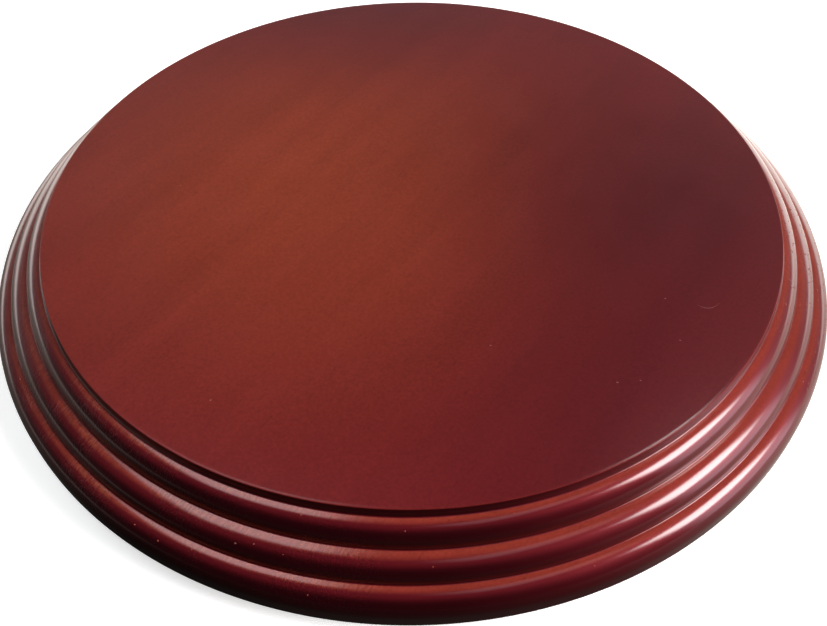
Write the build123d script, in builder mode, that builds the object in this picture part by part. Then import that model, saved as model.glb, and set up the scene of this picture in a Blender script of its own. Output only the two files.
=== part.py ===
"""Round turntable display stand: a moulded wooden board that turns on a ball bearing hidden under it.

Units are millimetres. The origin is the centre of the plane that the feet stand on, and +Z is up.
The board turns about +Z. Everything between the board and the table sits in a recess under the board.
"""

import os
from math import sqrt

from build123d import *

# Board: a flat display face, a small upright step under its edge, then three beads that step outwards.
BOARD_THICKNESS = 25.4
FACE_RADIUS = 109.5
ARRIS_ROUND = 0.4
STEP_DEPTH = 2.35
STEP_DRAFT = 0.55
BEAD_WIDTHS = (5.3, 6.05, 5.6)
BEAD_DROPS = (5.4, 5.1, 5.7)
FOOT_ROUND = 4.4
RECESS_RADIUS = 92.5
RECESS_MOUTH_CHAMFER = 0.8
BOARD_GAP = 3.0

# Base disc, with the hole through which a screwdriver reaches the upper plate's screws.
DISC_RADIUS = 90.0
DISC_THICKNESS = 6.0
DISC_EDGE_ROUND = 1.2
ACCESS_RADIUS = 8.0

# Two equal bearing plates, four inches square, pressed from sheet and set face to face.
PLATE_SIDE = 101.6
PLATE_CORNER_ROUND = 8.0
PLATE_THICKNESS = 1.0
PLATE_SPACE = 6.0
PLATE_HOLE_SPACING = 85.7
PLATE_HOLE_RADIUS = 2.25
DISH_RADIUS = 47.5
DISH_TOP_RADIUS = 45.0
DISH_RISE = 1.7
DISH_BORE_RADIUS = 5.5
RACE_RADIUS = 38.0
RACE_HALF_WIDTH = 2.35
SHEET_BEND = 1.5

# Balls and their cage.
BALL_RADIUS = 2.38
BALL_CLEARANCE = 0.02
BALL_COUNT = 24
CAGE_HALF_WIDTH = 3.6
CAGE_THICKNESS = 0.8
CAGE_POCKET_RADIUS = 2.45

# Hollow rivet through both plates, and the washer between its upper flange and the upper plate.
RIVET_RADIUS = 5.0
RIVET_BORE_RADIUS = 4.1
RIVET_FLANGE_RADIUS = 7.5
RIVET_FLANGE_THICKNESS = 0.8
THRUST_WASHER_RADIUS = 9.0
THRUST_WASHER_BORE_RADIUS = 5.4
THRUST_WASHER_THICKNESS = 0.5
RUNNING_GAP = 0.05

# Pan-head screws.
SHANK_RADIUS = 1.75
SCREW_POINT = 2.0
HEAD_RADIUS = 3.5
HEAD_HEIGHT = 2.0
HEAD_ROUND = 0.9
CROSS_LENGTH = 3.6
CROSS_WIDTH = 0.9
CROSS_DEPTH = 1.3
UPPER_SCREW = 8.0
LOWER_SCREW = 6.35
FOOT_SCREW = 6.35

# Rubber feet, each with a well for its screw and washer.
FOOT_CIRCLE = 78.0
FOOT_HEIGHT = 4.5
FOOT_TOP_RADIUS = 9.0
FOOT_BOTTOM_RADIUS = 8.2
FOOT_EDGE_ROUND = 1.0
FOOT_WELL_RADIUS = 4.8
FOOT_BORE_RADIUS = 1.9
HEAD_SINK = 0.5
WASHER_RADIUS = 4.5
WASHER_THICKNESS = 0.8

# Heights that follow from the stack, from the table up.
disc_top = FOOT_HEIGHT + DISC_THICKNESS
recess_ceiling = disc_top + 2 * PLATE_THICKNESS + PLATE_SPACE
ball_height = (disc_top + recess_ceiling) / 2
board_top = BOARD_GAP + BOARD_THICKNESS
washer_height = HEAD_SINK + HEAD_HEIGHT
well_ceiling = washer_height + WASHER_THICKNESS

# Planes that the plates' screw heads pull against, with +Z pointing from the head into the wood.
upper_seat = Plane(origin=(0, 0, recess_ceiling - PLATE_THICKNESS), x_dir=(1, 0, 0), z_dir=(0, 0, 1))
lower_seat = Plane(origin=(0, 0, disc_top + PLATE_THICKNESS), x_dir=(1, 0, 0), z_dir=(0, 0, -1))

plate_holes = GridLocations(PLATE_HOLE_SPACING, PLATE_HOLE_SPACING, 2, 2).locations
plate_hole_circle = PLATE_HOLE_SPACING / sqrt(2)
foot_offset = FOOT_CIRCLE / sqrt(2)
foot_centres = {
    "front_left": (-foot_offset, -foot_offset),
    "front_right": (foot_offset, -foot_offset),
    "back_left": (-foot_offset, foot_offset),
    "back_right": (foot_offset, foot_offset),
}

os.makedirs("parts", exist_ok=True)


def write(part, name):
    """Labels a finished piece and writes its STEP file."""
    part.label = name
    export_step(part, f"parts/{name}.step")


def upright_section(x, y):
    """Vertical sketch plane through (x, y), with sketch x along +X and sketch y along +Z."""
    return Plane(origin=(x, y, 0), x_dir=(1, 0, 0), z_dir=(0, -1, 0))


def pan_head_screw(length):
    """One cross-head screw along +Z, with the underside of its head at the origin."""
    with BuildPart() as screw:
        with BuildSketch(Plane.XZ):
            with BuildLine():
                Polyline(
                    (0, -HEAD_HEIGHT),
                    (HEAD_RADIUS, -HEAD_HEIGHT),
                    (HEAD_RADIUS, 0),
                    (SHANK_RADIUS, 0),
                    (SHANK_RADIUS, length - SCREW_POINT),
                    (0, length),
                    close=True,
                )
            make_face()
        revolve(axis=Axis.Z)
        fillet(screw.edges().filter_by(GeomType.CIRCLE).group_by(Axis.Z)[0], HEAD_ROUND)
        with BuildSketch(Plane.XY.offset(-HEAD_HEIGHT)):
            Rectangle(CROSS_LENGTH, CROSS_WIDTH)
            Rectangle(CROSS_WIDTH, CROSS_LENGTH)
        extrude(amount=CROSS_DEPTH, mode=Mode.SUBTRACT)
    return screw.part


def rubber_foot(x, y):
    """One foot standing at (x, y), with a well for its screw head and washer."""
    with BuildPart() as foot:
        with BuildSketch(upright_section(x, y)):
            with BuildLine():
                Polyline(
                    (FOOT_WELL_RADIUS, 0),
                    (FOOT_BOTTOM_RADIUS, 0),
                    (FOOT_TOP_RADIUS, FOOT_HEIGHT),
                    (FOOT_BORE_RADIUS, FOOT_HEIGHT),
                    (FOOT_BORE_RADIUS, well_ceiling),
                    (FOOT_WELL_RADIUS, well_ceiling),
                    close=True,
                )
            make_face()
        revolve(axis=Axis((x, y, 0), (0, 0, 1)))
        treads = foot.edges().filter_by(GeomType.CIRCLE).group_by(Axis.Z)[0]
        fillet(treads.sort_by(SortBy.RADIUS)[-1], FOOT_EDGE_ROUND)
    return foot.part


def bearing_plate(mount):
    """One pressed plate lying on a mounting plane, with its dish and ball race on the +Z side of it."""
    flat = PLATE_THICKNESS / 2
    raised = DISH_RISE + flat
    race_floor = PLATE_SPACE / 2 + flat - BALL_RADIUS - BALL_CLEARANCE
    with BuildPart() as plate:
        with BuildSketch(Plane(origin=mount.origin, x_dir=mount.x_dir, z_dir=-mount.y_dir)):
            with BuildLine() as middle:
                Line((DISH_BORE_RADIUS, raised), (RACE_RADIUS - RACE_HALF_WIDTH, raised))
                ThreePointArc(
                    (RACE_RADIUS - RACE_HALF_WIDTH, raised),
                    (RACE_RADIUS, race_floor),
                    (RACE_RADIUS + RACE_HALF_WIDTH, raised),
                )
                Polyline(
                    (RACE_RADIUS + RACE_HALF_WIDTH, raised),
                    (DISH_TOP_RADIUS, raised),
                    (DISH_RADIUS, flat),
                    (DISH_RADIUS + SHEET_BEND * 2, flat),
                )
                fillet(middle.vertices().sort_by(Axis.X)[1:-1], SHEET_BEND)
            trace(line_width=PLATE_THICKNESS)
        revolve(axis=Axis.Z)
        with BuildSketch(mount):
            RectangleRounded(PLATE_SIDE, PLATE_SIDE, PLATE_CORNER_ROUND)
            Circle(DISH_RADIUS + PLATE_THICKNESS, mode=Mode.SUBTRACT)
            with Locations(*plate_holes):
                Circle(PLATE_HOLE_RADIUS, mode=Mode.SUBTRACT)
        extrude(amount=PLATE_THICKNESS)
    return plate.part


# Screws come first, because the wood is bored to their shape.
with BuildPart() as upper_plate_screws:
    with Locations(*(upper_seat.location * place for place in plate_holes)):
        add(pan_head_screw(UPPER_SCREW))
write(upper_plate_screws.part, "upper_plate_screws")

with BuildPart() as lower_plate_screws:
    with Locations(*(lower_seat.location * place for place in plate_holes)):
        add(pan_head_screw(LOWER_SCREW))
write(lower_plate_screws.part, "lower_plate_screws")

with BuildPart() as foot_screws:
    with Locations(*((x, y, washer_height) for x, y in foot_centres.values())):
        add(pan_head_screw(FOOT_SCREW))
write(foot_screws.part, "foot_screws")

# Display board: one turned section, from the recess over the face, down the beads and under the rim.
with BuildPart() as display_board:
    with BuildSketch(Plane.XZ):
        with BuildLine():
            Polyline(
                (RECESS_RADIUS, BOARD_GAP),
                (RECESS_RADIUS, recess_ceiling),
                (0, recess_ceiling),
                (0, board_top),
                (FACE_RADIUS, board_top),
                (FACE_RADIUS + STEP_DRAFT, board_top - STEP_DEPTH),
            )
            bead_radius = FACE_RADIUS + STEP_DRAFT
            bead_top = board_top - STEP_DEPTH
            for width, drop in zip(BEAD_WIDTHS, BEAD_DROPS):
                EllipticalCenterArc((bead_radius, bead_top - drop), width, drop, arc_size=90)
                bead_radius += width
                bead_top -= drop
            Line((bead_radius, bead_top), (bead_radius, BOARD_GAP))
            Line((bead_radius, BOARD_GAP), (RECESS_RADIUS, BOARD_GAP))
        make_face()
    revolve(axis=Axis.Z)
    rims = display_board.edges().filter_by(GeomType.CIRCLE)
    fillet(rims.group_by(Axis.Z)[-1], ARRIS_ROUND)
    fillet(rims.group_by(Axis.Z)[0].sort_by(SortBy.RADIUS)[-1], FOOT_ROUND)
    chamfer(rims.group_by(Axis.Z)[0].sort_by(SortBy.RADIUS)[0], RECESS_MOUTH_CHAMFER)
    add(upper_plate_screws.part, mode=Mode.SUBTRACT)
write(display_board.part, "display_board")

# Base disc: stands on the feet and carries the lower plate.
with BuildPart() as base_disc:
    with BuildSketch(Plane.XY.offset(FOOT_HEIGHT)):
        Circle(DISC_RADIUS)
    extrude(amount=DISC_THICKNESS)
    fillet(base_disc.edges().filter_by(GeomType.CIRCLE), DISC_EDGE_ROUND)
    with Locations((0, -plate_hole_circle, disc_top)):
        Hole(ACCESS_RADIUS)
    add(lower_plate_screws.part, mode=Mode.SUBTRACT)
    add(foot_screws.part, mode=Mode.SUBTRACT)
write(base_disc.part, "base_disc")

# Bearing plates, the lower one facing up and the upper one facing down.
lower_mount = Plane(origin=(0, 0, disc_top), x_dir=(1, 0, 0), z_dir=(0, 0, 1))
upper_mount = Plane(origin=(0, 0, recess_ceiling), x_dir=(1, 0, 0), z_dir=(0, 0, -1))
write(bearing_plate(lower_mount), "lower_bearing_plate")
write(bearing_plate(upper_mount), "upper_bearing_plate")

# Balls in their cage, halfway between the plates.
with BuildPart() as bearing_balls:
    with Locations((0, 0, ball_height)):
        with PolarLocations(RACE_RADIUS, BALL_COUNT):
            Sphere(BALL_RADIUS)
write(bearing_balls.part, "bearing_balls")

with BuildPart() as ball_cage:
    with BuildSketch(Plane.XY.offset(ball_height - CAGE_THICKNESS / 2)):
        Circle(RACE_RADIUS + CAGE_HALF_WIDTH)
        Circle(RACE_RADIUS - CAGE_HALF_WIDTH, mode=Mode.SUBTRACT)
        with PolarLocations(RACE_RADIUS, BALL_COUNT):
            Circle(CAGE_POCKET_RADIUS, mode=Mode.SUBTRACT)
    extrude(amount=CAGE_THICKNESS)
write(ball_cage.part, "ball_cage")

# Hollow rivet: its lower flange grips the lower plate, its upper flange keeps the upper plate down.
lower_dish = disc_top + DISH_RISE
upper_dish = recess_ceiling - DISH_RISE
rivet_shoulder = upper_dish + THRUST_WASHER_THICKNESS + RUNNING_GAP
with BuildPart() as centre_rivet:
    with BuildSketch(Plane.XZ):
        with BuildLine():
            Polyline(
                (RIVET_BORE_RADIUS, lower_dish - RIVET_FLANGE_THICKNESS),
                (RIVET_FLANGE_RADIUS, lower_dish - RIVET_FLANGE_THICKNESS),
                (RIVET_FLANGE_RADIUS, lower_dish),
                (RIVET_RADIUS, lower_dish),
                (RIVET_RADIUS, rivet_shoulder),
                (RIVET_FLANGE_RADIUS, rivet_shoulder),
                (RIVET_FLANGE_RADIUS, rivet_shoulder + RIVET_FLANGE_THICKNESS),
                (RIVET_BORE_RADIUS, rivet_shoulder + RIVET_FLANGE_THICKNESS),
                close=True,
            )
        make_face()
    revolve(axis=Axis.Z)
write(centre_rivet.part, "centre_rivet")

with BuildPart() as thrust_washer:
    with BuildSketch(Plane.XY.offset(upper_dish)):
        Circle(THRUST_WASHER_RADIUS)
        Circle(THRUST_WASHER_BORE_RADIUS, mode=Mode.SUBTRACT)
    extrude(amount=THRUST_WASHER_THICKNESS)
write(thrust_washer.part, "thrust_washer")

# Four rubber feet, and the washers in their wells.
for corner, (foot_x, foot_y) in foot_centres.items():
    write(rubber_foot(foot_x, foot_y), f"foot_{corner}")

with BuildPart() as foot_washers:
    with BuildSketch(Plane.XY.offset(washer_height)):
        with Locations(*foot_centres.values()):
            Circle(WASHER_RADIUS)
            Circle(FOOT_BORE_RADIUS, mode=Mode.SUBTRACT)
    extrude(amount=WASHER_THICKNESS)
write(foot_washers.part, "foot_washers")
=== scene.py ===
"""Looks of the round turntable display stand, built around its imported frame.

Every size is in metres and every piece sits in the frame's own axes: +Z up, the front towards -Y.
The wooden board is modelled here as one turned piece with softly filled creases. The bearing, disc,
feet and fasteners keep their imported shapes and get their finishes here.
"""

import logging
import math
import random
from dataclasses import dataclass
from enum import Enum

import bpy
from mathutils import Matrix, Vector


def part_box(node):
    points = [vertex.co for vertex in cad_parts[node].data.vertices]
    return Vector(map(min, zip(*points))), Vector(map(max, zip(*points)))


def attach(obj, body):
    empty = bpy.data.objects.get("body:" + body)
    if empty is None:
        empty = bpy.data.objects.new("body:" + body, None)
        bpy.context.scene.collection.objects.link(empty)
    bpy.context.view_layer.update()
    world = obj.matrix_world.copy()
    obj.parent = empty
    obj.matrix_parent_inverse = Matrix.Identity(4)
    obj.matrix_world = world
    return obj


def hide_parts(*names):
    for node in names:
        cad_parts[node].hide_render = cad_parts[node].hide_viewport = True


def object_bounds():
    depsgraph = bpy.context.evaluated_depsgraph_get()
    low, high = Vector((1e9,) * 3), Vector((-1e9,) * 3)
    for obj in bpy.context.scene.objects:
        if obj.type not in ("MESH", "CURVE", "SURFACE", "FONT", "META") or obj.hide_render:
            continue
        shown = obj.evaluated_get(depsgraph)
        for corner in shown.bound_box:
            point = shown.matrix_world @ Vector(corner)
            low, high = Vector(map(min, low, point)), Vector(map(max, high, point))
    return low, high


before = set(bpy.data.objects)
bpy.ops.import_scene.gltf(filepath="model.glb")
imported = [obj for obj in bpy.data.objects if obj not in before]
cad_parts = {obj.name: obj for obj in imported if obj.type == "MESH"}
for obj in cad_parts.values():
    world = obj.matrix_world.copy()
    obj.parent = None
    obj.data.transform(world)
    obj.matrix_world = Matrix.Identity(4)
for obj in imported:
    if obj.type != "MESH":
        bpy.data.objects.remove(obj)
CAD_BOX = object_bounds()

MM = 0.001
LOG = logging.getLogger("display_stand")

Colour = tuple[float, float, float]
Socket = bpy.types.NodeSocket


# ------------------------------------------------------------------------------------------------
# Node graphs
# ------------------------------------------------------------------------------------------------


class Graph:
    """A node tree with short calls that add, set and link nodes."""

    def __init__(self, tree: bpy.types.NodeTree) -> None:
        """Keeps the tree that the calls work on."""
        self.tree = tree

    def add(self, kind: str, values: dict | None = None, **settings: object) -> bpy.types.Node:
        """Adds one node.

        Args:
            kind: Blender's class name of the node.
            values: What each input gets, by name or index: a constant, or an output socket to link from.
            settings: Properties set on the node itself.

        Returns:
            The new node.
        """
        node = self.tree.nodes.new(kind)
        for name, value in settings.items():
            setattr(node, name, value)
        for key, value in (values or {}).items():
            self.feed(node.inputs[key], value)
        return node

    def feed(self, socket: Socket, value: object) -> None:
        """Links an output socket to an input, or sets the input's constant.

        Args:
            socket: The input.
            value: An output socket or a constant. A colour may leave out its alpha.
        """
        if isinstance(value, bpy.types.NodeSocket):
            self.tree.links.new(value, socket)
        elif socket.type == "RGBA" and len(value) == 3:
            socket.default_value = (*value, 1.0)
        else:
            socket.default_value = value

    def math(self, operation: str, a: object, b: object = 0.0, c: object = 0.0) -> Socket:
        """Returns the result of one maths node."""
        return self.add("ShaderNodeMath", {0: a, 1: b, 2: c}, operation=operation).outputs[0]

    def vector(self, operation: str, a: object, b: object) -> Socket:
        """Returns the vector that one vector-maths node puts out."""
        return self.add("ShaderNodeVectorMath", {0: a, 1: b}, operation=operation).outputs["Vector"]

    def measure(self, operation: str, a: object, b: object) -> Socket:
        """Returns the number that one vector-maths node puts out, such as a dot product or a distance."""
        return self.add("ShaderNodeVectorMath", {0: a, 1: b}, operation=operation).outputs["Value"]

    def scaled(self, vector: object, gain: object) -> Socket:
        """Returns a colour or vector multiplied by a number."""
        given = {0: vector, "Scale": gain}
        return self.add("ShaderNodeVectorMath", given, operation="SCALE").outputs["Vector"]

    def flat(self, where: object) -> Socket:
        """Returns coordinates with their height taken away."""
        return self.vector("MULTIPLY", where, (1.0, 1.0, 0.0))

    def away(self, where: object) -> Socket:
        """Returns the distance from the Z axis."""
        return self.measure("DISTANCE", self.flat(where), (0.0, 0.0, 0.0))

    def outward(self, where: object) -> Socket:
        """Returns the level direction that leads away from the Z axis."""
        return self.vector("NORMALIZE", self.flat(where), (0.0, 0.0, 0.0))

    def ease(
        self, value: object, low: object, high: object, at_low: object = 0.0, at_high: object = 1.0
    ) -> Socket:
        """Returns a number that eases from at_low to at_high as value goes from low to high."""
        given = {"Value": value, "From Min": low, "From Max": high, "To Min": at_low, "To Max": at_high}
        return self.add("ShaderNodeMapRange", given, interpolation_type="SMOOTHSTEP").outputs["Result"]

    def mix(self, share: object, a: object, b: object) -> Socket:
        """Blends two colours.

        Args:
            share: How much of b there is, from 0 to 1.
            a: The colour at 0.
            b: The colour at 1.

        Returns:
            The blended colour.
        """
        node = self.add("ShaderNodeMix", data_type="RGBA")
        for index, value in ((0, share), (6, a), (7, b)):
            self.feed(node.inputs[index], value)
        return node.outputs[2]

    def noise(self, where: object, scale: object, detail: float = 2.0, roughness: float = 0.5) -> Socket:
        """Returns smooth noise from 0 to 1, near one half on average."""
        given = {"Vector": where, "Scale": scale, "Detail": detail, "Roughness": roughness}
        return self.add("ShaderNodeTexNoise", given).outputs["Fac"]

    def along(self, where: object, degrees: float, scale: tuple[float, float, float]) -> Socket:
        """Turns coordinates about Z and scales them, so that a texture stretches along one direction.

        Args:
            where: The coordinates.
            degrees: The direction, anticlockwise from +X, that becomes the first coordinate.
            scale: The scale of the three turned coordinates.

        Returns:
            The turned and scaled coordinates.
        """
        given = {"Vector": where, "Axis": (0.0, 0.0, 1.0), "Angle": math.radians(-degrees)}
        turned = self.add("ShaderNodeVectorRotate", given, rotation_type="AXIS_ANGLE")
        return self.vector("MULTIPLY", turned.outputs[0], scale)

    def bump(self, height: object, distance: float) -> Socket:
        """Returns a normal bent by a height from 0 to 1 that stands for distance in metres."""
        given = {"Height": height, "Distance": distance, "Strength": 1.0}
        return self.add("ShaderNodeBump", given).outputs["Normal"]


class Kind(Enum):
    """Kinds of socket on an effect group."""

    NUMBER = "NodeSocketFloat"
    COLOUR = "NodeSocketColor"
    VECTOR = "NodeSocketVector"


class Effect:
    """A shader node group with named inputs and outputs, built once and placed in many materials."""

    def __init__(self, name: str, inputs: dict[str, tuple[Kind, object]], outputs: dict[str, Kind]) -> None:
        """Makes the group and its sockets.

        Args:
            name: The group's name.
            inputs: Each input's kind and default, by name.
            outputs: Each output's kind, by name.
        """
        self.tree = bpy.data.node_groups.new(name, "ShaderNodeTree")
        for label, (kind, default) in inputs.items():
            socket = self.tree.interface.new_socket(label, in_out="INPUT", socket_type=kind.value)
            socket.default_value = (*default, 1.0) if kind is Kind.COLOUR else default
        for label, kind in outputs.items():
            self.tree.interface.new_socket(label, in_out="OUTPUT", socket_type=kind.value)
        self.graph = Graph(self.tree)
        self.given = self.graph.add("NodeGroupInput").outputs
        self.result = self.graph.add("NodeGroupOutput").inputs

    def place(self, graph: Graph, values: dict[str, object]) -> bpy.types.NodeOutputs:
        """Puts the group into a material.

        Args:
            graph: The material's graph.
            values: What each input gets, by name.

        Returns:
            The group's outputs.
        """
        node = graph.add("ShaderNodeGroup", node_tree=self.tree)
        for label, value in values.items():
            graph.feed(node.inputs[label], value)
        return node.outputs


# ------------------------------------------------------------------------------------------------
# Effects shared by the finishes
# ------------------------------------------------------------------------------------------------


def build_speckle() -> Effect:
    """Builds a fine speckle: a base colour broken into lighter and darker grains.

    Returns:
        The group. It puts out the broken colour and the grains' height.
    """
    inputs = {
        "Where": (Kind.VECTOR, (0.0, 0.0, 0.0)),
        "Base": (Kind.COLOUR, (0.5, 0.5, 0.5)),
        "Grains per Metre": (Kind.NUMBER, 1000.0),
        "Contrast": (Kind.NUMBER, 0.1),
    }
    effect = Effect("speckle", inputs, {"Color": Kind.COLOUR, "Grain": Kind.NUMBER})
    g, given = effect.graph, effect.given
    grain = g.noise(given["Where"], given["Grains per Metre"], 3.0, 0.65)
    swing = g.math("MULTIPLY", g.math("SUBTRACT", grain, 0.5), given["Contrast"])
    g.feed(effect.result["Color"], g.scaled(given["Base"], g.math("MULTIPLY_ADD", swing, 4.0, 1.0)))
    g.feed(effect.result["Grain"], grain)
    return effect


def build_patch() -> Effect:
    """Builds a soft round patch.

    Returns:
        The group. It puts out a mask that is 1 at the centre and fades to 0 at the radius.
    """
    inputs = {
        "Where": (Kind.VECTOR, (0.0, 0.0, 0.0)),
        "Centre": (Kind.VECTOR, (0.0, 0.0, 0.0)),
        "Radius": (Kind.NUMBER, 0.1),
    }
    effect = Effect("soft_patch", inputs, {"Mask": Kind.NUMBER})
    g, given = effect.graph, effect.given
    away = g.measure("DISTANCE", given["Where"], given["Centre"])
    g.feed(effect.result["Mask"], g.ease(g.math("DIVIDE", away, given["Radius"]), 0.0, 1.0, 1.0, 0.0))
    return effect


def build_fibres() -> Effect:
    """Builds streaks, such as wood fibres or rolling marks, from coordinates stretched along them.

    Returns:
        The group. It puts out a number about one half.
    """
    inputs = {
        "Where": (Kind.VECTOR, (0.0, 0.0, 0.0)),
        "Streaks per Metre": (Kind.NUMBER, 1000.0),
        "Detail": (Kind.NUMBER, 3.0),
    }
    effect = Effect("fibres", inputs, {"Streak": Kind.NUMBER})
    g, given = effect.graph, effect.given
    streak = g.noise(given["Where"], given["Streaks per Metre"], given["Detail"], 0.6)
    g.feed(effect.result["Streak"], streak)
    return effect


@dataclass
class Effects:
    """The effect groups, built once, and the materials made so far."""

    speckle: Effect
    patch: Effect
    fibres: Effect
    made: dict[str, bpy.types.Material]

    @classmethod
    def build(cls) -> "Effects":
        """Builds every group."""
        return cls(build_speckle(), build_patch(), build_fibres(), {})


# ------------------------------------------------------------------------------------------------
# Finishes
# ------------------------------------------------------------------------------------------------


@dataclass(frozen=True)
class Finish:
    """A surface finish that makes one material. Each kind of finish adds its own nodes in dress."""

    name: str

    def material(self, effects: Effects) -> bpy.types.Material:
        """Makes the material on first use, and returns it.

        Args:
            effects: The shared effect groups.

        Returns:
            The material.
        """
        if self.name in effects.made:
            return effects.made[self.name]
        made = bpy.data.materials.new(self.name)
        effects.made[self.name] = made
        made.use_nodes = True
        made.node_tree.nodes.clear()
        graph = Graph(made.node_tree)
        shader = graph.add("ShaderNodeBsdfPrincipled")
        graph.add("ShaderNodeOutputMaterial", {"Surface": shader.outputs[0]})
        where = graph.add("ShaderNodeTexCoord").outputs["Object"]
        self.dress(graph, shader, where, effects)
        return made

    def dress(self, graph: Graph, shader: bpy.types.Node, where: Socket, effects: Effects) -> None:
        """Feeds the shader. Each kind of finish has its own way."""
        raise NotImplementedError

    @staticmethod
    def set(graph: Graph, shader: bpy.types.Node, values: dict[str, object]) -> None:
        """Sets or links several of the shader's inputs."""
        for name, value in values.items():
            graph.feed(shader.inputs[name], value)


@dataclass(frozen=True)
class Patch:
    """A soft lighter or darker patch of colour on the board, placed in board radii from the middle."""

    x: float
    y: float
    radius: float
    colour: Colour
    weight: float


@dataclass(frozen=True)
class LacqueredWood(Finish):
    """Red-brown stain under satin lacquer, lighter on the beads, with painted shade that darkens their
    steep sides and creases.

    Streaks, grains and scales are per metre, and heights are shares of the relief.
    """

    stain: Colour
    bead_stain: Colour
    mild_painted_shade: Colour
    glaze_and_painted_shade: Colour
    patches: tuple[Patch, ...]
    board_radius: float
    face_radius: float
    top: float
    grain_direction: float
    roughness: float
    coat_roughness: float
    sheen_tint: Colour = (1.0, 0.08, 0.11)
    raw_fibre: Colour = (0.3, 0.07, 0.03)
    painted_shade_long_grain: float = 0.6
    painted_shade_end_grain: float = 0.97
    figure_streaks: float = 62.0
    figure_stretch: float = 0.16
    mottle_grains: float = 1100.0
    mottle_contrast: float = 0.2
    pore_streaks: float = 1900.0
    pore_stretch: float = 0.09
    pore_glaze: float = 0.35
    pore_height: float = -0.3
    torn_streaks: float = 1500.0
    torn_stretch: float = 0.22
    torn_colour: float = 0.7
    torn_height: float = -3.0
    torn_clumps: float = 70.0
    sparkle_scale: float = 2400.0
    sparkle_height: float = 0.28
    orange_peel_scale: float = 420.0
    cloud_scale: float = 60.0
    relief: float = 0.02 * MM
    arris_coat: float = 0.2
    coat_ior: float = 1.45
    specular: float = 0.55

    def dress(self, graph: Graph, shader: bpy.types.Node, where: Socket, effects: Effects) -> None:
        """Lays down stain, patches, figure, painted shade, pores and lacquer texture.

        Args:
            graph: The material's graph.
            shader: The shader to feed.
            where: The coordinates of the point being shaded.
            effects: The shared effect groups.
        """
        g = graph
        patchy = self._patchy_colour(g, where, effects)
        figure = self._streaks(g, where, effects, self.figure_stretch, self.figure_streaks, 3.0)
        patchy = g.scaled(patchy, g.ease(figure, 0.25, 0.75, 0.9, 1.1))
        mottled = effects.speckle.place(
            g,
            {
                "Where": where,
                "Base": patchy,
                "Grains per Metre": self.mottle_grains,
                "Contrast": self.mottle_contrast,
            },
        )["Color"]
        pores = self._streaks(g, where, effects, self.pore_stretch, self.pore_streaks, 1.0)
        pores = g.ease(pores, 0.66, 0.78)
        torn = self._torn_fibres(g, where, effects)
        shade_amount = self._painted_shade_amount(g, where)
        # The pores take some of the dark colour, as glaze filling them.
        colour = g.mix(g.math("MULTIPLY", pores, self.pore_glaze), mottled, self.glaze_and_painted_shade)
        colour = g.mix(g.math("MULTIPLY", torn, self.torn_colour), colour, self.raw_fibre)
        # Painted shade: darker on the steep sides, in the creases and underneath, most where the sides cut
        # end grain.
        colour = g.mix(g.ease(shade_amount, 0.0, 0.45), colour, self.mild_painted_shade)
        colour = g.mix(g.ease(shade_amount, 0.5, 1.08), colour, self.glaze_and_painted_shade)
        height = g.noise(where, self.orange_peel_scale)
        sparkle = g.noise(where, self.sparkle_scale, 2.0, 0.6)
        height = g.math("MULTIPLY_ADD", sparkle, self.sparkle_height, height)
        height = g.math("MULTIPLY_ADD", pores, self.pore_height, height)
        height = g.math("MULTIPLY_ADD", torn, self.torn_height, height)
        clouds = g.noise(where, self.cloud_scale, 3.0)
        rough = g.ease(clouds, 0.3, 0.7, self.roughness - 0.03, self.roughness + 0.04)
        self.set(
            g,
            shader,
            {
                "Base Color": colour,
                "Roughness": rough,
                "Normal": g.bump(height, self.relief),
                "Coat Weight": self._coat(g, where),
                "Coat Roughness": self.coat_roughness,
                "Coat IOR": self.coat_ior,
                "Specular IOR Level": self.specular,
                "Specular Tint": (*self.sheen_tint, 1.0),
            },
        )

    def _patchy_colour(self, g: Graph, where: Socket, effects: Effects) -> Socket:
        """Lays the soft lighter and darker patches over the stain, one over another, and the beads' own
        stain round them.

        Args:
            g: The material's graph.
            where: The coordinates.
            effects: The shared effect groups.

        Returns:
            The patched colour.
        """
        colour: object = self.stain
        flat = g.flat(where)
        for patch in self.patches:
            given = {
                "Where": flat,
                "Centre": (patch.x * self.board_radius, patch.y * self.board_radius, 0.0),
                "Radius": patch.radius * self.board_radius,
            }
            mask = effects.patch.place(g, given)["Mask"]
            colour = g.mix(g.math("MULTIPLY", mask, patch.weight), colour, patch.colour)
        blend = 0.3 * MM
        beyond = g.ease(g.away(where), self.face_radius - blend, self.face_radius + blend)
        return g.mix(beyond, colour, self.bead_stain)

    def _streaks(
        self, g: Graph, where: Socket, effects: Effects, stretch: float, per_metre: float, detail: float
    ) -> Socket:
        """Lays streaks along the grain.

        Args:
            g: The material's graph.
            where: The coordinates.
            effects: The shared effect groups.
            stretch: How much the coordinates shrink along the grain.
            per_metre: How many streaks there are in a metre across the grain.
            detail: The streaks' detail.

        Returns:
            A number about one half.
        """
        along = g.along(where, self.grain_direction, (stretch, 1.0, 1.0))
        given = {"Where": along, "Streaks per Metre": per_metre, "Detail": detail}
        return effects.fibres.place(g, given)["Streak"]

    def _end_grain(self, g: Graph, where: Socket) -> Socket:
        """Works out how squarely the edge cuts the fibres.

        Args:
            g: The material's graph.
            where: The coordinates.

        Returns:
            A number from 0 along the grain to 1 across it.
        """
        turn = math.radians(self.grain_direction)
        along = g.measure("DOT_PRODUCT", g.outward(where), (math.cos(turn), math.sin(turn), 0.0))
        return g.math("MULTIPLY", along, along)

    def _painted_shade_amount(self, g: Graph, where: Socket) -> Socket:
        """Finds where shade is painted: on the steep sides, and most of all where they cut end grain.

        Args:
            g: The material's graph.
            where: The coordinates.

        Returns:
            How dark the painted shade lies, from 0 to 1.
        """
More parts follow.
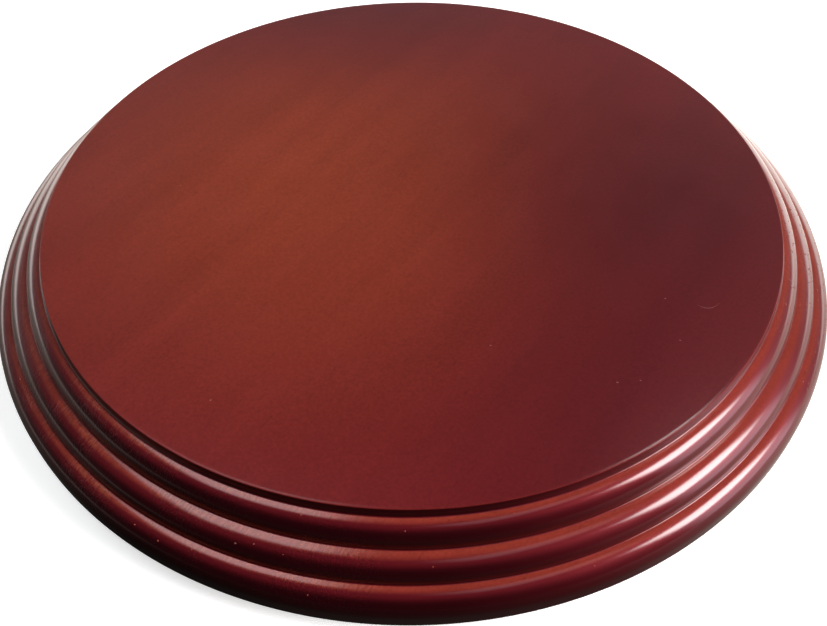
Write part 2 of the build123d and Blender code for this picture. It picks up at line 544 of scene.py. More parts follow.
        # Reads the painted shade stored on the mesh.
        steep = g.add("ShaderNodeAttribute", attribute_name="glaze_and_painted_shade").outputs["Fac"]
        end_grain = self._end_grain(g, where)
        most = g.ease(end_grain, 0.0, 0.7, self.painted_shade_long_grain, self.painted_shade_end_grain)
        return g.math("MULTIPLY", steep, most)

    def _torn_fibres(self, g: Graph, where: Socket, effects: Effects) -> Socket:
        """Finds the short strokes that open across the beads where the cutter tore the end grain.

        Args:
            g: The material's graph.
            where: The coordinates.
            effects: The shared effect groups.

        Returns:
            The strokes' mask.
        """
        strokes = self._streaks(g, where, effects, self.torn_stretch, self.torn_streaks, 2.0)
        strokes = g.ease(strokes, 0.44, 0.6)
        clumps = g.ease(g.noise(where, self.torn_clumps), 0.4, 0.62, 0.15, 1.0)
        beads = g.ease(g.away(where), self.face_radius + 0.4 * MM, self.face_radius + 1.0 * MM)
        torn = g.math("MULTIPLY", beads, g.ease(self._end_grain(g, where), 0.45, 1.0))
        return g.math("MULTIPLY", g.math("MULTIPLY", torn, clumps), strokes)

    def _coat(self, g: Graph, where: Socket) -> Socket:
        """Thins the clear coat on the arris round the face, where it was rubbed down.

        Args:
            g: The material's graph.
            where: The coordinates.

        Returns:
            The coat's weight.
        """
        off_arris = g.math("SUBTRACT", g.away(where), self.face_radius - 0.1 * MM)
        full = g.ease(g.math("ABSOLUTE", off_arris), 0.2 * MM, 0.35 * MM)
        height = g.measure("DOT_PRODUCT", where, (0.0, 0.0, 1.0))
        below = g.ease(height, self.top - 3.0 * MM, self.top - 2.0 * MM, 1.0, 0.0)
        full = g.math("MAXIMUM", full, below)
        return g.math("MULTIPLY_ADD", full, 1.0 - self.arris_coat, self.arris_coat)


@dataclass(frozen=True)
class Speckled(Finish):
    """A plain material with a fine grain, such as rubber, nylon or bare fibreboard."""

    base: Colour
    grains_per_metre: float
    contrast: float
    roughness: float
    relief: float
    specular: float = 0.5

    def dress(self, graph: Graph, shader: bpy.types.Node, where: Socket, effects: Effects) -> None:
        """Lays down the grain, a slower mottling and a matching bump.

        Args:
            graph: The material's graph.
            shader: The shader to feed.
            where: The coordinates of the point being shaded.
            effects: The shared effect groups.
        """
        g = graph
        given = {
            "Where": where,
            "Base": self.base,
            "Grains per Metre": self.grains_per_metre,
            "Contrast": self.contrast,
        }
        grained = effects.speckle.place(g, given)
        slow = g.noise(where, self.grains_per_metre / 12.0, 3.0)
        colour = g.scaled(grained["Color"], g.ease(slow, 0.3, 0.7, 0.9, 1.08))
        self.set(
            g,
            shader,
            {
                "Base Color": colour,
                "Roughness": g.ease(slow, 0.3, 0.7, self.roughness - 0.05, self.roughness + 0.05),
                "Normal": g.bump(grained["Grain"], self.relief),
                "Specular IOR Level": self.specular,
            },
        )


@dataclass(frozen=True)
class PlatedSteel(Finish):
    """Pressed or turned steel with a thin plating: rolling marks, cloudy spangle and small dull spots."""

    base: Colour
    tint: Colour
    roughness: float
    rolled_along: float = 0.0
    cloud_scale: float = 120.0
    mark_streaks: float = 2600.0
    spot_scale: float = 900.0
    spot_dulling: float = 0.18
    relief: float = 0.008 * MM

    def dress(self, graph: Graph, shader: bpy.types.Node, where: Socket, effects: Effects) -> None:
        """Lays down the plating's clouds, marks and dull spots.

        Args:
            graph: The material's graph.
            shader: The shader to feed.
            where: The coordinates of the point being shaded.
            effects: The shared effect groups.
        """
        g = graph
        clouds = g.noise(where, self.cloud_scale, 4.0, 0.6)
        rolled = g.along(where, self.rolled_along, (0.03, 1.0, 1.0))
        given = {"Where": rolled, "Streaks per Metre": self.mark_streaks, "Detail": 2.0}
        marks = effects.fibres.place(g, given)["Streak"]
        spots = g.ease(g.noise(where, self.spot_scale), 0.62, 0.7)
        colour = g.mix(g.ease(clouds, 0.35, 0.65), self.base, self.tint)
        colour = g.scaled(colour, g.ease(marks, 0.3, 0.7, 0.93, 1.05))
        rough = g.ease(clouds, 0.3, 0.7, self.roughness - 0.06, self.roughness + 0.06)
        rough = g.math("MULTIPLY_ADD", spots, self.spot_dulling, rough)
        self.set(
            g,
            shader,
            {
                "Base Color": colour,
                "Metallic": g.ease(spots, 0.0, 1.0, 1.0, 0.85),
                "Roughness": rough,
                "Normal": g.bump(marks, self.relief),
            },
        )


@dataclass(frozen=True)
class Paper(Finish):
    """The pale studio sweep that the stand is set on, which fades out far away.

    The camera sees it evenly pale. It lights the stand as a set of cards would: dim in front and close
    by on the left, brighter beside and behind.
    """

    base: Colour
    fade_from: float
    fade_to: float
    lift: float = 0.8
    card: float = 0.6
    far_card: float = 2.0
    shade: float = 0.06
    right_gain: float = 1.25
    left_shadow: float = 0.75
    shadow_from: float = 0.14
    shadow_to: float = 0.3
    card_colour: Colour = (1.0, 0.86, 0.77)
    front: tuple[float, float, float] = (-0.139, -0.99, 0.0)

    def dress(self, graph: Graph, shader: bpy.types.Node, where: Socket, effects: Effects) -> None:
        """Lays down faint fibres, the fade, and the light that the paper gives the stand.

        Args:
            graph: The material's graph.
            shader: The shader to feed.
            where: The coordinates of the point being shaded.
            effects: The shared effect groups.
        """
        g = graph
        given = {"Where": where, "Base": self.base, "Grains per Metre": 700.0, "Contrast": 0.012}
        grained = effects.speckle.place(g, given)
        seen = g.add("ShaderNodeLightPath").outputs["Is Camera Ray"]
        away = g.away(where)
        self.set(
            g,
            shader,
            {
                "Base Color": g.mix(seen, (0.0, 0.0, 0.0), grained["Color"]),
                "Emission Color": g.mix(seen, self._cards(g, where, away), g.scaled(self.base, self.lift)),
                "Emission Strength": 1.0,
                "Roughness": 0.95,
                "Specular IOR Level": 0.1,
                "Normal": g.bump(grained["Grain"], 0.02 * MM),
                "Alpha": g.ease(away, self.fade_from, self.fade_to, 1.0, 0.0),
            },
        )

    def _cards(self, g: Graph, where: Socket, away: Socket) -> Socket:
        """Works out the light that each side of the paper gives the stand.

        Args:
            g: The material's graph.
            where: The coordinates.
            away: The distance from the middle.

        Returns:
            The light's colour.
        """
        outward = g.outward(where)
        ahead = g.measure("DOT_PRODUCT", outward, self.front)
        aside = g.measure("DOT_PRODUCT", outward, (1.0, 0.0, 0.0))
        near_side = g.ease(ahead, 0.3, 0.9, 1.0, self.shade)
        behind = g.ease(ahead, -0.8, 0.1, self.far_card, self.card)
        gain = g.ease(aside, 0.2, 0.6, 1.0, self.right_gain)
        left = g.ease(aside, -0.6, 0.2, 1.0, 0.0)
        close = g.ease(away, self.shadow_from, self.shadow_to, self.left_shadow, 0.0)
        lit = g.math("SUBTRACT", 1.0, g.math("MULTIPLY", left, close))
        card = g.math("MULTIPLY", g.math("MULTIPLY", near_side, behind), gain)
        return g.scaled(self.card_colour, g.math("MULTIPLY", card, lit))


# ------------------------------------------------------------------------------------------------
# Turned board
# ------------------------------------------------------------------------------------------------


@dataclass(frozen=True)
class Station:
    """One point of the board's section: its radius, its height, and its painted shade from 0 to 1."""

    radius: float
    height: float
    glaze_and_painted_shade: float


@dataclass
class DisplayBoard:
    """The turned and lacquered board. Its outside comes from the frame and its moulding is held here."""

    bead_widths: tuple[float, ...] = (5.3 * MM, 6.05 * MM, 5.6 * MM)
    bead_drops: tuple[float, ...] = (5.4 * MM, 5.1 * MM, 5.7 * MM)
    step_depth: float = 2.35 * MM
    step_draft: float = 0.55 * MM
    arris: float = 0.22 * MM
    arris_painted_shade: float = 0.25
    crease: float = 0.36 * MM
    crease_painted_shade: float = 0.35
    foot_round: float = 4.4 * MM
    mouth: float = 0.8 * MM
    recess_radius: float = 92.5 * MM
    recess_corner: float = 0.3 * MM
    around: int = 576
    bead_steps: int = 26
    crease_steps: int = 5
    foot_steps: int = 12
    face_rings: tuple[float, ...] = (0.0, 0.15, 0.35, 0.55, 0.75, 0.9, 0.97, 0.992)
    wall_rings: tuple[float, ...] = (0.08, 0.35, 0.7, 1.0)
    painted_shade_from: float = 4.0
    painted_shade_to: float = 46.0

    def __post_init__(self) -> None:
        """Reads the board's outside from the frame."""
        low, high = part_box("display_board")
        self.radius = high.x
        self.top = high.z
        self.bottom = low.z
        self.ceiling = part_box("upper_bearing_plate")[1].z
        self.step_radius = self.radius - sum(self.bead_widths)
        self.face_radius = self.step_radius - self.step_draft

    def shade(self, slope: float) -> float:
        """Works out how much painted shade a surface gets from its slope.

        Args:
            slope: How far the surface leans outwards from level, in degrees.

        Returns:
            The painted shade, from 0 to 1.
        """
        share = (slope - self.painted_shade_from) / (self.painted_shade_to - self.painted_shade_from)
        share = min(1.0, max(0.0, share))
        return share * share * (3.0 - 2.0 * share)

    def face(self) -> list[Station]:
        """Draws the flat display face and the rounded arris round it.

        Returns:
            The stations, from the centre outwards.
        """
        stations = [Station(self.face_radius * share, self.top, 0.0) for share in self.face_rings]
        centre = self.face_radius - self.arris
        for step in range(self.crease_steps + 1):
            turn = math.radians(90.0 * step / self.crease_steps)
            radius = centre + self.arris * math.sin(turn)
            height = self.top - self.arris * (1.0 - math.cos(turn))
            # The arris gets more painted shade as it turns down.
            stations.append(Station(radius, height, self.arris_painted_shade * math.sin(turn)))
        return stations

    def step_wall(self) -> list[Station]:
        """Draws the near-upright wall under the arris.

        Returns:
            The stations, from the top down.
        """
        span = self.step_depth - self.arris - self.crease
        stations = []
        for share in self.wall_rings:
            height = self.top - self.arris - span * share
            fallen = self.top - self.arris - height
            radius = self.face_radius + self.step_draft * fallen / (span + self.crease)
            # The wall is given full painted shade.
            stations.append(Station(radius, height, 1.0))
        return stations

    def crease_at(self, radius: float, height: float) -> list[Station]:
        """Draws the small hollow where lacquer fills the crease at the foot of a wall or bead.

        Args:
            radius: The crease's radius.
            height: The crease's height.

        Returns:
            The stations, from the wall outwards.
        """
        stations = []
        for step in range(1, self.crease_steps + 1):
            turn = math.radians(90.0 * step / (self.crease_steps + 1))
            # The crease gets painted shade, darkest against the wall.
            stations.append(
                Station(
                    radius + self.crease * (1.0 - math.cos(turn)),
                    height + self.crease * (1.0 - math.sin(turn)),
                    max(math.cos(turn), self.crease_painted_shade),
                )
            )
        return stations

    def bead(self, radius: float, height: float, width: float, drop: float, last: bool) -> list[Station]:
        """Draws one quarter-round bead, from just outside its upper crease to just above its lower one.

        Args:
            radius: The upper crease's radius.
            height: The bead's highest point.
            width: How far the bead steps out.
            drop: How far it falls.
            last: Whether it is the lowest bead, which has no crease under it.

        Returns:
            The stations, from the top down.
        """
        start = math.asin(self.crease / width)
        end = math.pi / 2.0 if last else math.acos(self.crease / drop)
        stations = []
        for step in range(self.bead_steps + 1):
            turn = start + (end - start) * step / self.bead_steps
            slope = math.degrees(math.atan2(math.sin(turn) * drop, math.cos(turn) * width))
            outer = radius + width * math.sin(turn)
            # Each station gets painted shade for its slope.
            stations.append(Station(outer, height - drop * (1.0 - math.cos(turn)), self.shade(slope)))
        return stations

    def bead_point(self, index: int, slope: float, azimuth: float) -> tuple[Vector, Vector]:
        """Finds a point on a bead.

        Args:
            index: Which bead, from 0 at the top.
            slope: How far the surface leans from level, in degrees.
            azimuth: The point's direction from the middle, in radians from +X.

        Returns:
            The point, and the outward normal there.
        """
        width, drop = self.bead_widths[index], self.bead_drops[index]
        turn = math.atan2(math.tan(math.radians(slope)) * width, drop)
        radius = self.step_radius + sum(self.bead_widths[:index]) + width * math.sin(turn)
        height = self.top - self.step_depth - sum(self.bead_drops[:index]) - drop * (1.0 - math.cos(turn))
        outward = Vector((math.cos(azimuth), math.sin(azimuth), 0.0))
        lean = math.radians(slope)
        up = Vector((0.0, 0.0, 1.0))
        return outward * radius + up * height, outward * math.sin(lean) + up * math.cos(lean)

    def underside(self) -> list[Station]:
        """Draws the rounded foot, the flat underside and the recess.

        Returns:
            The stations, from the widest point to the middle of the recess's ceiling.
        """
        # The foot, underside and recess get full painted shade.
        stations = []
        for step in range(self.foot_steps + 1):
            turn = math.radians(90.0 * step / self.foot_steps)
            stations.append(
                Station(
                    self.radius - self.foot_round * (1.0 - math.cos(turn)),
                    self.bottom + self.foot_round * (1.0 - math.sin(turn)),
                    1.0,
                )
            )
        stations += [
            Station(self.radius - self.foot_round - self.recess_corner, self.bottom, 1.0),
            Station(self.recess_radius + self.mouth, self.bottom, 1.0),
            Station(self.recess_radius, self.bottom + self.mouth, 1.0),
            Station(self.recess_radius, self.ceiling - self.recess_corner, 1.0),
            Station(self.recess_radius - self.recess_corner, self.ceiling, 1.0),
            Station(0.4 * self.recess_radius, self.ceiling, 1.0),
            Station(0.0, self.ceiling, 1.0),
        ]
        return stations

    def section(self) -> list[Station]:
        """Draws the whole section.

        Returns:
            The stations, from the middle of the face round to the middle of the recess.
        """
        stations = self.face() + self.step_wall()
        radius = self.step_radius
        height = self.top - self.step_depth
        stations += self.crease_at(radius, height)
        for index, (width, drop) in enumerate(zip(self.bead_widths, self.bead_drops)):
            last = index == len(self.bead_widths) - 1
            stations += self.bead(radius, height, width, drop, last)
            radius += width
            height -= drop
            if not last:
                stations += self.crease_at(radius, height)
        return stations + self.underside()

    def build(self, lacquer: bpy.types.Material) -> bpy.types.Object:
        """Spins the section into the board's mesh and dresses it.

        Args:
            lacquer: The board's material.

        Returns:
            The board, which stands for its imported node.
        """
        board = spun_mesh("turned_display_board", self.section(), self.around)
        board.data.materials.append(lacquer)
        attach(board, "turntable")
        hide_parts("display_board")
        LOG.info("turned_display_board: %d faces", len(board.data.polygons))
        return board


def spun_mesh(name: str, section: list[Station], around: int) -> bpy.types.Object:
    """Spins a section that starts and ends on the Z axis into a closed smooth mesh.

    Args:
        name: The new object's name.
        section: The stations, from one pole to the other.
        around: How many steps make a full turn.

    Returns:
        The new object, with the stations' painted shade as a point attribute.
    """
    rings = section[1:-1]
    vertices = [(0.0, 0.0, section[0].height), (0.0, 0.0, section[-1].height)]
    glaze_and_painted_shade = [section[0].glaze_and_painted_shade, section[-1].glaze_and_painted_shade]
    for station in rings:
        for step in range(around):
            turn = 2.0 * math.pi * step / around
            outward = (station.radius * math.cos(turn), station.radius * math.sin(turn))
            vertices.append((*outward, station.height))
            glaze_and_painted_shade.append(station.glaze_and_painted_shade)

    def at(ring: int, step: int) -> int:
        """Returns the index of one point of one ring."""
        return 2 + ring * around + step % around

    faces = [(0, at(0, step), at(0, step + 1)) for step in range(around)]
    for ring in range(len(rings) - 1):
        for step in range(around):
            below = (at(ring + 1, step), at(ring + 1, step + 1))
            faces.append((at(ring, step), *below, at(ring, step + 1)))
    last = len(rings) - 1
    faces += [(1, at(last, step + 1), at(last, step)) for step in range(around)]
    mesh = bpy.data.meshes.new(name)
    mesh.from_pydata(vertices, [], faces)
    # The painted shade goes on the mesh as a point attribute.
    mesh.attributes.new("glaze_and_painted_shade", "FLOAT", "POINT").data.foreach_set("value", glaze_and_painted_shade)
    mesh.shade_smooth()
    mesh.validate()
    made = bpy.data.objects.new(name, mesh)
    bpy.context.scene.collection.objects.link(made)
    return made


@dataclass(frozen=True)
class NibPatch:
    """A stretch of one bead where dust nibs stand in the lacquer.

    Azimuths are degrees from +X, and slopes are degrees from level.
    """

    bead: int
    count: int
    azimuths: tuple[float, float]
    slopes: tuple[float, float] = (10.0, 52.0)


@dataclass
class LacquerNibs:
    """Small domes of lacquer over dust specks, thickest on the right-hand end grain of the beads."""

    board: DisplayBoard
    patches: tuple[NibPatch, ...]
    smallest: float = 0.16 * MM
    largest: float = 0.32 * MM
    flatness: float = 0.42
    # Painted shade given to every point of the nibs.
    glaze_and_painted_shade: float = 0.1
    dome_angle: float = 100.0
    around: int = 10
    rings: int = 3
    seed: int = 11

    def build(self, lacquer: bpy.types.Material) -> bpy.types.Object:
        """Scatters the nibs over the beads as one mesh.

        Args:
            lacquer: The nibs' material.

        Returns:
            The nibs.
        """
        chance = random.Random(self.seed)
        vertices: list[tuple[float, float, float]] = []
        faces: list[tuple[int, ...]] = []
        for patch in self.patches:
            for _ in range(patch.count):
                azimuth = math.radians(chance.triangular(*patch.azimuths))
                slope = chance.uniform(*patch.slopes)
                radius = chance.triangular(self.smallest, self.largest, self.smallest)
                centre, normal = self.board.bead_point(patch.bead, slope, azimuth)
                self._dome(vertices, faces, centre, normal, radius)
        mesh = bpy.data.meshes.new("lacquer_nibs")
        mesh.from_pydata(vertices, [], faces)
        # The nibs carry the painted shade as a point attribute too.
        glaze_and_painted_shade = mesh.attributes.new("glaze_and_painted_shade", "FLOAT", "POINT")
        glaze_and_painted_shade.data.foreach_set("value", [self.glaze_and_painted_shade] * len(vertices))
        mesh.shade_smooth()
        nibs = bpy.data.objects.new("lacquer_nibs", mesh)
        bpy.context.scene.collection.objects.link(nibs)
        nibs.data.materials.append(lacquer)
        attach(nibs, "turntable")
        LOG.info("lacquer_nibs: %d", sum(patch.count for patch in self.patches))
        return nibs

    def _dome(
        self,
        vertices: list[tuple[float, float, float]],
        faces: list[tuple[int, ...]],
        centre: Vector,
        normal: Vector,
        radius: float,
    ) -> None:
        """Adds one flattened dome whose rim lies just under the surface.

        Args:
            vertices: The mesh's points so far.
            faces: The mesh's faces so far.
            centre: The dome's middle, on the surface.
            normal: The surface's normal there.
            radius: The dome's radius.
        """
        side = normal.orthogonal().normalized()
        other = normal.cross(side)
        first = len(vertices)
        vertices.append(tuple(centre + normal * radius * self.flatness))
        for ring in range(1, self.rings + 1):
            lean = math.radians(self.dome_angle * ring / self.rings)
            height = radius * self.flatness * math.cos(lean)
            for step in range(self.around):
                turn = 2.0 * math.pi * step / self.around
                outward = (side * math.cos(turn) + other * math.sin(turn)) * radius * math.sin(lean)
                vertices.append(tuple(centre + outward + normal * height))
        for step in range(self.around):
            following = (step + 1) % self.around
            faces.append((first, first + 1 + step, first + 1 + following))
            for ring in range(self.rings - 1):
                low, high = first + 1 + ring * self.around, first + 1 + (ring + 1) * self.around
                faces.append((low + step, high + step, high + following, low + following))


@dataclass(frozen=True)
class Fleck:
    """A pale scratch or speck in the lacquer of the display face, through points given in millimetres."""

    points: tuple[tuple[float, float], ...]
    width: float


@dataclass
class FaceFlecks:
    """The hair-fine scratch and the specks on the display face, as low ridges of lacquer."""

    board: DisplayBoard
    flecks: tuple[Fleck, ...]
    steps: int = 6
    proud: float = 0.02 * MM

    def build(self, pale: bpy.types.Material) -> bpy.types.Object:
        """Lays every fleck on the face as one mesh.

        Args:
            pale: The flecks' material.

        Returns:
            The flecks.
        """
        vertices: list[tuple[float, float, float]] = []
        faces: list[tuple[int, ...]] = []
        for fleck in self.flecks:
            self._ridge(vertices, faces, fleck)
        mesh = bpy.data.meshes.new("face_flecks")
        mesh.from_pydata(vertices, [], faces)
        mesh.shade_smooth()
        made = bpy.data.objects.new("face_flecks", mesh)
        bpy.context.scene.collection.objects.link(made)
        made.data.materials.append(pale)
        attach(made, "turntable")
        LOG.info("face_flecks: %d", len(self.flecks))
        return made

    def _ridge(
        self, vertices: list[tuple[float, float, float]], faces: list[tuple[int, ...]], fleck: Fleck
    ) -> None:
        """Adds one ridge along a smooth curve, tapering to nothing at both ends.

        Args:
            vertices: The mesh's points so far.
            faces: The mesh's faces so far.
            fleck: The fleck, of two points, or of three with the curve's middle second.
        """
        knots = [Vector((x * MM, y * MM, self.board.top)) for x, y in fleck.points]
        line = []
        start, end = knots[0], knots[-1]
        middle = (start + end) / 2.0
        pull = knots[1] * 2.0 - middle if len(knots) == 3 else middle
        for step in range(2 * self.steps + 1):
            share = step / (2 * self.steps)
            line.append(start.lerp(pull, share).lerp(pull.lerp(end, share), share))
        first = len(vertices)
        for index, point in enumerate(line):
            before, after = line[max(index - 1, 0)], line[min(index + 1, len(line) - 1)]
            along = (after - before).normalized()
            half = Vector((-along.y, along.x, 0.0)) * fleck.width / 2.0
            share = math.sin(math.pi * (index + 0.5) / len(line))
            low = Vector((0.0, 0.0, -self.proud / 2.0))
            high = Vector((0.0, 0.0, self.proud))
            for corner in (half * share + low, high, low - half * share):
                vertices.append(tuple(point + corner))
        for index in range(len(line) - 1):
            here, there = first + 3 * index, first + 3 * (index + 1)
            faces += [(here + 1, here, there, there + 1), (here + 2, here + 1, there + 1, there + 2)]


# ------------------------------------------------------------------------------------------------
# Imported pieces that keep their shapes
# ------------------------------------------------------------------------------------------------


@dataclass
class KeptPieces:
    """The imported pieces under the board, each with its finish."""

    effects: Effects
    finishes: dict[str, Finish]

    def dress(self) -> None:
        """Gives every kept node its material."""
        for name, finish in self.finishes.items():
            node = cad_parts[name]
            node.data.materials.clear()
            node.data.materials.append(finish.material(self.effects))
            LOG.info("%s: %s", name, finish.name)


# ------------------------------------------------------------------------------------------------
# Studio
# ------------------------------------------------------------------------------------------------


@dataclass(frozen=True)
class Softbox:
    """A rectangular light far away.

    Angles are degrees: azimuth anticlockwise from +X, and width and height as the stand sees them.
    """

    azimuth: float
    elevation: float
    width: float
    height: float
    strength: float
    colour: Colour = (1.0, 1.0, 1.0)
    turn: float = 0.0
    softness: float = 0.35

    def axes(self) -> tuple[Vector, Vector, Vector]:
        """Works out how the light stands.

        Returns:
            Its direction from the stand, and its own sideways and upward directions.
        """
        azimuth = math.radians(self.azimuth)
        elevation = math.radians(self.elevation)
        level = math.cos(elevation)
        towards = Vector((level * math.cos(azimuth), level * math.sin(azimuth), math.sin(elevation)))
        side = Vector((0.0, 0.0, 1.0)).cross(towards).normalized()
        up = towards.cross(side)
        turn = math.radians(self.turn)
        return (
            towards,
            side * math.cos(turn) + up * math.sin(turn),
            up * math.cos(turn) - side * math.sin(turn),
        )

    def glow(self, g: Graph, direction: Socket) -> Socket:
        """Draws the light in the sky.

        Args:
            g: The sky's graph.
            direction: The unit direction looked along.

        Returns:
            The light's radiance as a colour.
        """
        towards, side, up = self.axes()
        depth = g.measure("DOT_PRODUCT", direction, tuple(towards))
        mask = g.ease(depth, 0.0, 0.05)
        for axis, span in ((side, self.width), (up, self.height)):
            reach = math.tan(math.radians(span) / 2.0)
            offset = g.measure("DOT_PRODUCT", direction, tuple(axis))
            across = g.math("ABSOLUTE", g.math("DIVIDE", offset, g.math("MAXIMUM", depth, 0.01)))
            inner, outer = reach * (1.0 - self.softness), reach * (1.0 + self.softness)
            mask = g.math("MULTIPLY", mask, g.ease(across, inner, outer, 1.0, 0.0))
        return g.scaled(self.colour, g.math("MULTIPLY", mask, self.strength))


@dataclass
class Studio:
    """The pale floor and the soft lights."""

    effects: Effects
    softboxes: tuple[Softbox, ...]
    room: Colour = (0.02, 0.018, 0.024)
    shown: Colour = (0.98, 0.98, 0.98)
    sweep: float = 2.6
    sweep_slope: float = 0.62
    sweep_start: float = 0.13
    sweep_softness: float = 0.05
    sweep_middle: float = 0.3
    sweep_sides: tuple[float, float] = (0.25, 0.55)
    sweep_colour: Colour = (1.0, 0.97, 0.93)
    floor_radius: float = 6.0
    floor_rings: tuple[float, ...] = (0.2, 0.5, 1.0)
    floor_around: int = 96
    fade_from: float = 2.5
    floor_colour: Colour = (0.84, 0.84, 0.83)

    def light(self) -> None:
        """Makes the sky that holds the softboxes, a dim room and a pale backdrop low down."""
        world = bpy.data.worlds.new("studio")
        bpy.context.scene.world = world
        world.use_nodes = True
        world.node_tree.nodes.clear()
        g = Graph(world.node_tree)
        direction = g.add("ShaderNodeTexCoord").outputs["Generated"]
        below = g.measure("DOT_PRODUCT", direction, (0.0, self.sweep_slope, -1.0))
        rise = g.math("SUBTRACT", below, self.sweep_start)
        aside = g.math("ABSOLUTE", g.measure("DOT_PRODUCT", direction, (1.0, 0.0, 0.0)))
        sweep = g.ease(rise, -self.sweep_softness, self.sweep_softness, 0.0, self.sweep)
        sweep = g.math("MULTIPLY", sweep, g.ease(aside, *self.sweep_sides, self.sweep_middle, 1.0))
        total: object = g.vector("ADD", self.room, g.scaled(self.sweep_colour, sweep))
        for softbox in self.softboxes:
            total = g.vector("ADD", total, softbox.glow(g, direction))
        seen = g.add("ShaderNodeLightPath").outputs["Is Camera Ray"]
        shown = g.mix(seen, total, self.shown)
        background = g.add("ShaderNodeBackground", {"Color": shown, "Strength": 1.0})
        g.add("ShaderNodeOutputWorld", {"Surface": background.outputs[0]})
        LOG.info("studio: %d softboxes", len(self.softboxes))

    def floor(self) -> bpy.types.Object:
        """Lays the pale floor under the feet.

        Returns:
            The floor.
        """
        around = self.floor_around
        level = CAD_BOX[0].z
        vertices = [(0.0, 0.0, level)]
        for share in self.floor_rings:
            radius = self.floor_radius * share
            for step in range(around):
                turn = 2.0 * math.pi * step / around
                vertices.append((radius * math.cos(turn), radius * math.sin(turn), level))
        faces = [(0, 1 + step, 1 + (step + 1) % around) for step in range(around)]
        for ring in range(len(self.floor_rings) - 1):
            low, high = 1 + ring * around, 1 + (ring + 1) * around
            for step in range(around):
                following = (step + 1) % around
                faces.append((low + step, high + step, high + following, low + following))
        mesh = bpy.data.meshes.new("studio_floor")
        mesh.from_pydata(vertices, [], faces)
        floor = bpy.data.objects.new("studio_floor", mesh)
        bpy.context.scene.collection.objects.link(floor)
        paper = Paper("pale_paper", self.floor_colour, self.fade_from, self.floor_radius)
        floor.data.materials.append(paper.material(self.effects))
        LOG.info("studio_floor: laid")
        return floor


@dataclass(frozen=True)
class Viewpoint:
    """Where the camera stands, in face radii from the middle of the display face."""

    face_radius: float
    height: float
    distance: float = 2.4537
    elevation: float = 40.479
    aim_x: float = 0.0018
    aim_y: float = -0.4682
    roll: float = 0.857
    lens: float = 37.87
    sensor: float = 36.0
    clip: tuple[float, float] = (0.01, 50.0)

    def place(self) -> bpy.types.Object:
        """Makes the camera and makes it the scene's own.

        Returns:
            The camera.
        """
        data = bpy.data.cameras.new("camera")
        data.lens = self.lens
        data.sensor_width = self.sensor
        data.sensor_fit = "HORIZONTAL"
        data.clip_start, data.clip_end = self.clip
        lift = math.radians(self.elevation)
        middle = Vector((0.0, 0.0, self.height))
        eye = middle + Vector((0.0, -math.cos(lift), math.sin(lift))) * self.distance * self.face_radius
        aim = middle + Vector((self.aim_x, self.aim_y, 0.0)) * self.face_radius
        ahead = (aim - eye).normalized()
        right = ahead.cross(Vector((0.0, 0.0, 1.0))).normalized()
        up = right.cross(ahead)
        turn = math.radians(self.roll)
        across = right * math.cos(turn) - up * math.sin(turn)
        over = right * math.sin(turn) + up * math.cos(turn)
        camera = bpy.data.objects.new("camera", data)
        bpy.context.scene.collection.objects.link(camera)
        camera.matrix_world = Matrix((across, over, -ahead)).transposed().to_4x4()
        camera.location = eye
        bpy.context.scene.camera = camera
        LOG.info("camera: %.3f m from the middle of the face", (eye - middle).length)
        return camera


# ------------------------------------------------------------------------------------------------
# The whole stand
# ------------------------------------------------------------------------------------------------


def kept_finishes() -> dict[str, Finish]:
    """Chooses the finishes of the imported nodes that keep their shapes.

    Returns:
        Each node's finish, by the node's name.
    """
    zinc = PlatedSteel("zinc_plated_sheet", (0.56, 0.57, 0.58), (0.47, 0.49, 0.52), 0.34, 20.0)
    yellow = PlatedSteel("yellow_zinc_screws", (0.62, 0.52, 0.3), (0.5, 0.46, 0.4), 0.3, 90.0)
    rivet = PlatedSteel("zinc_plated_rivet", (0.58, 0.58, 0.57), (0.5, 0.5, 0.5), 0.3)
    balls = PlatedSteel("polished_ball_steel", (0.66, 0.66, 0.67), (0.6, 0.6, 0.62), 0.12)
    nylon = Speckled("natural_nylon", (0.72, 0.69, 0.6), 1600.0, 0.05, 0.42, 0.01 * MM)
    rubber = Speckled("black_rubber", (0.022, 0.022, 0.023), 2200.0, 0.3, 0.72, 0.03 * MM, 0.35)
    fibreboard = Speckled("bare_fibreboard", (0.36, 0.24, 0.14), 1300.0, 0.2, 0.8, 0.04 * MM, 0.25)
    finishes: dict[str, Finish] = {
        "base_disc": fibreboard,
        "lower_bearing_plate": zinc,
        "upper_bearing_plate": zinc,
        "lower_plate_screws": yellow,
        "upper_plate_screws": yellow,
        "foot_screws": yellow,
        "foot_washers": zinc,
        "centre_rivet": rivet,
        "thrust_washer": nylon,
        "ball_cage": nylon,
        "bearing_balls": balls,
    }
    for corner in ("front_left", "front_right", "back_left", "back_right"):
        finishes[f"foot_{corner}"] = rubber
    return finishes


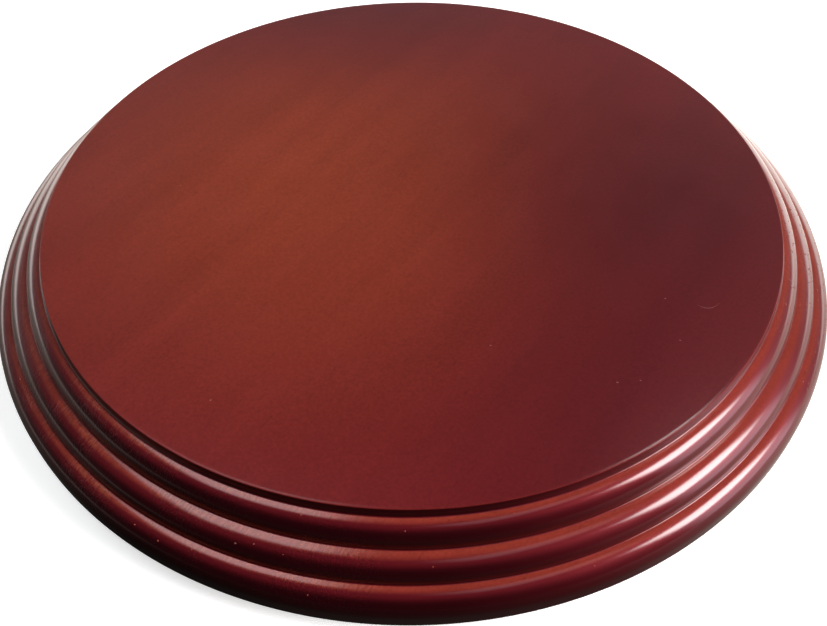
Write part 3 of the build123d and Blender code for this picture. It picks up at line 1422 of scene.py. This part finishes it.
def wood_lacquer(board: DisplayBoard) -> LacqueredWood:
    """Mixes the board's finish.

    Args:
        board: The board, which gives the finish its face radius and its top.

    Returns:
        The finish.
    """
    return LacqueredWood(
        name="red_brown_lacquer",
        stain=(0.112, 0.0102, 0.0108),
        bead_stain=(0.21, 0.028, 0.015),
        # Painted shade colours: mild, then dark; the dark one also fills the pores.
        mild_painted_shade=(0.083, 0.005, 0.0078),
        glaze_and_painted_shade=(0.009, 0.0003, 0.0009),
        # Soft patches: lighter left of the middle, darker on the right, at the back and at the front right.
        patches=(
            Patch(-0.26, 0.04, 1.05, (0.225, 0.039, 0.0145), 0.85),
            Patch(0.62, -0.1, 0.75, (0.055, 0.006, 0.008), 0.85),
            Patch(-0.12, 1.0, 0.72, (0.068, 0.0095, 0.0125), 0.75),
            Patch(0.5, -0.75, 0.65, (0.058, 0.0055, 0.008), 0.8),
        ),
        board_radius=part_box("display_board")[1].x,
        face_radius=board.face_radius,
        top=board.top,
        grain_direction=55.0,
        roughness=0.4,
        coat_roughness=0.13,
    )


NIB_PATCHES = (
    NibPatch(bead=0, count=60, azimuths=(-34.0, 8.0)),
    NibPatch(bead=1, count=80, azimuths=(-34.0, 6.0)),
    NibPatch(bead=2, count=60, azimuths=(-36.0, 0.0)),
    NibPatch(bead=0, count=5, azimuths=(-150.0, -40.0)),
    NibPatch(bead=1, count=5, azimuths=(-160.0, -40.0)),
    NibPatch(bead=2, count=7, azimuths=(-175.0, -45.0)),
)

HAIR = Fleck(((76.2, -49.8), (79.0, -51.2), (82.3, -49.6)), 0.16 * MM)
SPECKS = (
    Fleck(((67.9, -47.4), (68.4, -47.6)), 0.4 * MM),
    Fleck(((68.8, -62.0), (69.3, -62.2)), 0.35 * MM),
    Fleck(((50.3, -75.2), (50.9, -75.4)), 0.4 * MM),
    Fleck(((56.2, -74.7), (56.7, -74.9)), 0.35 * MM),
    Fleck(((19.7, -62.7), (20.2, -62.9)), 0.35 * MM),
    Fleck(((-71.0, 2.4), (-70.5, 2.6)), 0.35 * MM),
    Fleck(((-50.3, -78.8), (-49.8, -78.6)), 0.35 * MM),
)

KEY = Softbox(
    azimuth=-13.0, elevation=39.0, width=24.0, height=20.0, strength=24.0, colour=(1.0, 0.97, 0.96)
)
KEY_TAIL = Softbox(
    azimuth=-12.0, elevation=12.0, width=30.0, height=46.0, strength=3.4, colour=(1.0, 0.8, 0.9)
)
REAR_RIGHT = Softbox(
    azimuth=49.0, elevation=57.0, width=9.0, height=7.0, strength=15.0, colour=(1.0, 0.96, 0.94)
)
OVERHEAD = Softbox(
    azimuth=151.0,
    elevation=69.6,
    width=29.0,
    height=20.0,
    strength=4.3,
    colour=(0.87, 0.95, 1.0),
    turn=20.0,
)
ROSE_FILL = Softbox(
    azimuth=-38.0, elevation=70.0, width=30.0, height=12.0, strength=1.3, colour=(1.0, 0.75, 0.8)
)


def main() -> None:
    """Builds and dresses the stand, then sets up the studio."""
    logging.basicConfig(level=logging.INFO, format="%(name)s %(message)s")
    bpy.context.scene.view_settings.view_transform = "Standard"
    effects = Effects.build()
    board = DisplayBoard()
    lacquer = wood_lacquer(board).material(effects)
    board.build(lacquer)
    LacquerNibs(board, NIB_PATCHES).build(lacquer)
    pale = Speckled("pale_fleck", (0.3, 0.12, 0.11), 2400.0, 0.1, 0.5, 0.01 * MM)
    FaceFlecks(board, (HAIR, *SPECKS)).build(pale.material(effects))
    KeptPieces(effects, kept_finishes()).dress()
    studio = Studio(effects, (KEY, KEY_TAIL, REAR_RIGHT, OVERHEAD, ROSE_FILL))
    studio.light()
    studio.floor()
    Viewpoint(board.face_radius, board.top).place()


if __name__ == "__main__":
    main()
